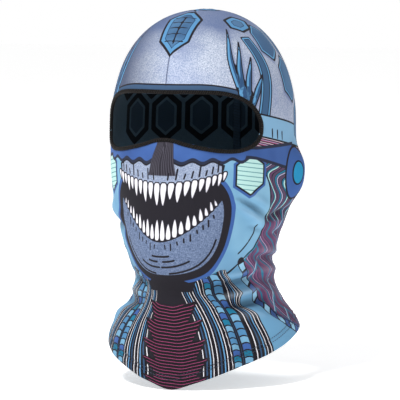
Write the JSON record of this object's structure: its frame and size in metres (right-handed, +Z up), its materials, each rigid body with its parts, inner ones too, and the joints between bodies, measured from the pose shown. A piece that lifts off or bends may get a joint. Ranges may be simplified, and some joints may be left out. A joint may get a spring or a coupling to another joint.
{
  "type": "balaclava",
  "caption": "Stretch knit balaclava: a one-panel hood with a wide bound eye opening, a nose rise, a close neck and a hem that comes to a point in front.",
  "frame": {"origin": "middle of the wearer's head, halfway between the ears and level with the middle of the eye opening", "axes": "+Z up through the crown, -Y the way the wearer looks, +X to the wearer's left"},
  "size_m": [0.1782, 0.1974, 0.327],
  "materials": {
    "printed_knit": "printed stretch polyester knit, fine ribs, slight sheen",
    "black_binding": "black stretch binding, matt",
    "dark_thread": "textured polyester thread"
  },
  "bodies": {
    "root": {"hood_panel": "printed_knit", "eye_binding": "black_binding", "eye_binding_thread": "dark_thread", "centre_seam_overlock": "dark_thread", "hem_needle_thread_upper": "dark_thread", "hem_needle_thread_lower": "dark_thread", "hem_looper_thread": "dark_thread"}
  },
  "joints": []
}
